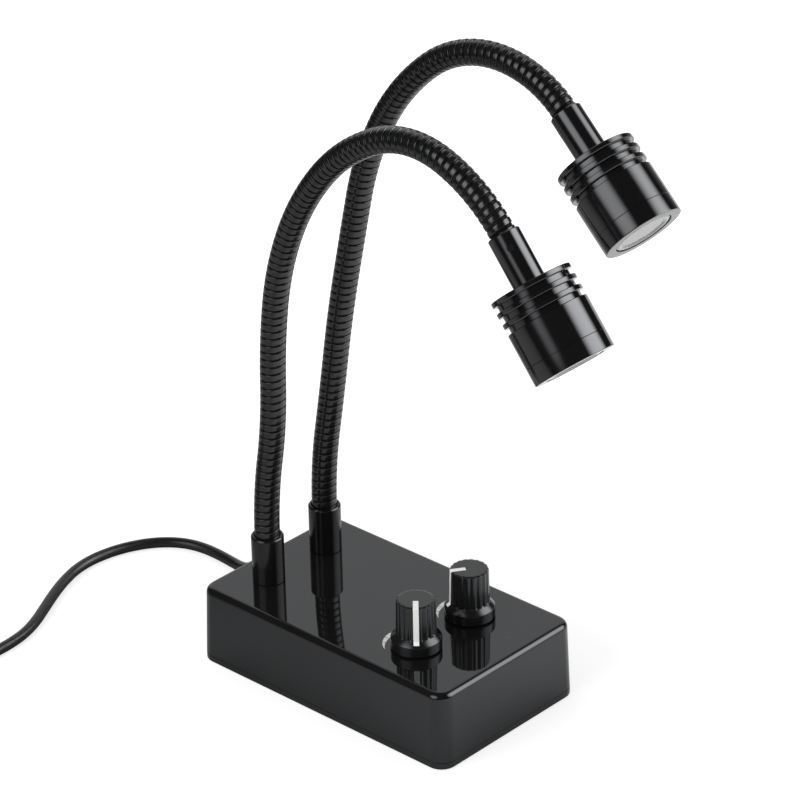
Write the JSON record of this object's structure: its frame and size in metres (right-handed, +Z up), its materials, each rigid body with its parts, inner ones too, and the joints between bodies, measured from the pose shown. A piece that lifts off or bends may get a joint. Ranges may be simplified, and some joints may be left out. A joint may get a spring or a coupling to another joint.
{
  "type": "dual gooseneck led illuminator",
  "caption": "Bench light: a black box with dimmer knobs carries bendable ribbed goosenecks, each ending in a finned LED spot head, with a thin supply cord and plug.",
  "frame": {"origin": "centre of the underside of the base, on the table", "axes": "+Z up; -Y towards the front, where the knobs are and over which the heads lean; +Y towards the rear, where the necks and the cord leave; X across the base"},
  "size_m": [0.1597, 0.2522, 0.2033],
  "materials": {
    "base_plastic": "moulded black, polished",
    "screw_steel": "zinc plated",
    "board_green": "green solder mask on glass laminate",
    "component_black": "moulded black",
    "pot_metal": "plated sheet and die casting",
    "shaft_metal": "turned",
    "knob_plastic": "moulded black, satin",
    "pointer_white": "white inlay",
    "ferrule_black": "turned, black anodised, glossy",
    "head_black": "turned, black anodised, glossy",
    "lens_glass": "clear, polished",
    "seal_rubber": "matt black",
    "led_board_white": "white solder mask on aluminium",
    "led_phosphor": "phosphor yellow",
    "neck_black": "black oxide on wound steel, satin gloss",
    "cord_black": "matt black jacket",
    "tie_black": "woven black strap",
    "plug_metal": "nickel plated sheet"
  },
  "bodies": {
    "root": {"base_shell": "base_plastic", "bottom_cover": "base_plastic", "cover_screws": "screw_steel", "driver_board": "board_green", "board_components": "component_black", "board_screws": "screw_steel", "pot_nuts": "screw_steel", "pot_washers": "screw_steel", "ferrule_nuts": "screw_steel", "ferrule_washers": "screw_steel", "cord_grommet": "seal_rubber", "power_cord": "cord_black", "cord_coil": "cord_black", "cord_tie": "tie_black", "plug_grip": "cord_black", "plug_shell": "plug_metal", "potentiometer_left": "pot_metal", "potentiometer_right": "pot_metal", "ferrule_left": "ferrule_black", "ferrule_right": "ferrule_black", "neck_left_1": "neck_black", "neck_right_1": "neck_black"},
    "left_link_2": {"neck_left_2": "neck_black"},
    "left_link_3": {"neck_left_3": "neck_black"},
    "left_link_4": {"neck_left_4": "neck_black"},
    "left_link_5": {"neck_left_5": "neck_black"},
    "left_link_6": {"neck_left_6": "neck_black"},
    "left_link_7": {"neck_left_7": "neck_black"},
    "left_head": {"neck_left_8": "neck_black", "head_stem_left": "head_black", "stem_screw_left": "screw_steel", "head_barrel_left": "head_black", "head_bezel_left": "head_black", "lens_left": "lens_glass", "lens_seal_left": "seal_rubber", "led_board_left": "led_board_white", "led_left": "led_phosphor"},
    "left_knob": {"knob_left": "knob_plastic", "pointer_left": "pointer_white", "pot_shaft_left": "shaft_metal"},
    "right_link_2": {"neck_right_2": "neck_black"},
    "right_link_3": {"neck_right_3": "neck_black"},
    "right_link_4": {"neck_right_4": "neck_black"},
    "right_link_5": {"neck_right_5": "neck_black"},
    "right_link_6": {"neck_right_6": "neck_black"},
    "right_link_7": {"neck_right_7": "neck_black"},
    "right_head": {"neck_right_8": "neck_black", "head_stem_right": "head_black", "stem_screw_right": "screw_steel", "head_barrel_right": "head_black", "head_bezel_right": "head_black", "lens_right": "lens_glass", "lens_seal_right": "seal_rubber", "led_board_right": "led_board_white", "led_right": "led_phosphor"},
    "right_knob": {"knob_right": "knob_plastic", "pointer_right": "pointer_white", "pot_shaft_right": "shaft_metal"}
  },
  "joints": [
    {"name": "left_neck_1_bend", "type": "hinge", "parent": "root", "child": "left_link_2", "pos_m": [-0.01242, 0.0342, 0.06687], "axis": [0.9997, 0.0263, -0.0015], "range_deg": [-18, 18]},
    {"name": "left_neck_2_sway", "type": "hinge", "parent": "left_link_2", "child": "left_link_3", "pos_m": [-0.01231, 0.03166, 0.09322], "axis": [0.0176, -0.9997, -0.0174], "range_deg": [-4, 18]},
    {"name": "left_neck_3_bend", "type": "hinge", "parent": "left_link_3", "child": "left_link_4", "pos_m": [-0.01223, 0.02958, 0.11962], "axis": [1, 0.0089, -0.0029], "range_deg": [-14, 18]},
    {"name": "left_neck_4_bend", "type": "hinge", "parent": "left_link_4", "child": "left_link_5", "pos_m": [-0.0121, 0.02252, 0.14508], "axis": [1, 0.0009, -0.0063], "range_deg": [-11, 18]},
    {"name": "left_neck_5_sway", "type": "hinge", "parent": "left_link_5", "child": "left_link_6", "pos_m": [-0.01194, 0.00864, 0.16753], "axis": [-0.0121, -0.7604, -0.6493], "range_deg": [-8, 18]},
    {"name": "left_neck_6_bend", "type": "hinge", "parent": "left_link_6", "child": "left_link_7", "pos_m": [-0.01187, -0.01223, 0.18355], "axis": [0.9998, -0.0095, -0.0198], "range_deg": [-10, 18]},
    {"name": "left_neck_7_bend", "type": "hinge", "parent": "left_link_7", "child": "left_head", "pos_m": [-0.01209, -0.03801, 0.18479], "axis": [0.9996, -0.0065, -0.028], "range_deg": [-12, 18]},
    {"name": "right_neck_1_bend", "type": "hinge", "parent": "root", "child": "right_link_2", "pos_m": [0.01328, 0.03483, 0.06691], "axis": [0.9321, 0.3622, -0.0092], "range_deg": [-18, 18]},
    {"name": "right_neck_2_sway", "type": "hinge", "parent": "right_link_2", "child": "right_link_3", "pos_m": [0.01476, 0.0317, 0.09319], "axis": [-0.2959, 0.9476, 0.1207], "range_deg": [-4, 18]},
    {"name": "right_neck_3_bend", "type": "hinge", "parent": "right_link_3", "child": "right_link_4", "pos_m": [0.01635, 0.02813, 0.11939], "axis": [0.9711, 0.2371, -0.0287], "range_deg": [-18, 18]},
    {"name": "right_neck_4_bend", "type": "hinge", "parent": "right_link_4", "child": "right_link_5", "pos_m": [0.01818, 0.02379, 0.14547], "axis": [0.9841, 0.1731, -0.0405], "range_deg": [-18, 18]},
    {"name": "right_neck_5_sway", "type": "hinge", "parent": "right_link_5", "child": "right_link_6", "pos_m": [0.0206, 0.01594, 0.17058], "axis": [-0.0733, 0.8999, 0.4299], "range_deg": [-8, 18]},
    {"name": "right_neck_6_bend", "type": "hinge", "parent": "right_link_6", "child": "right_link_7", "pos_m": [0.02386, 0.00018, 0.1914], "axis": [0.9904, 0.0704, -0.1193], "range_deg": [-18, 18]},
    {"name": "right_neck_7_bend", "type": "hinge", "parent": "right_link_7", "child": "right_head", "pos_m": [0.02657, -0.0242, 0.19952], "axis": [0.98, 0.074, -0.1847], "range_deg": [-18, 18]},
    {"name": "left_knob_turn", "type": "hinge", "parent": "root", "child": "left_knob", "pos_m": [-0.0125, -0.0242, 0.03], "axis": [0, 0, 1], "range_deg": [-300, 0]},
    {"name": "right_knob_turn", "type": "hinge", "parent": "root", "child": "right_knob", "pos_m": [0.0111, -0.0242, 0.03], "axis": [0, 0, 1], "range_deg": [-222, 78]}
  ]
}
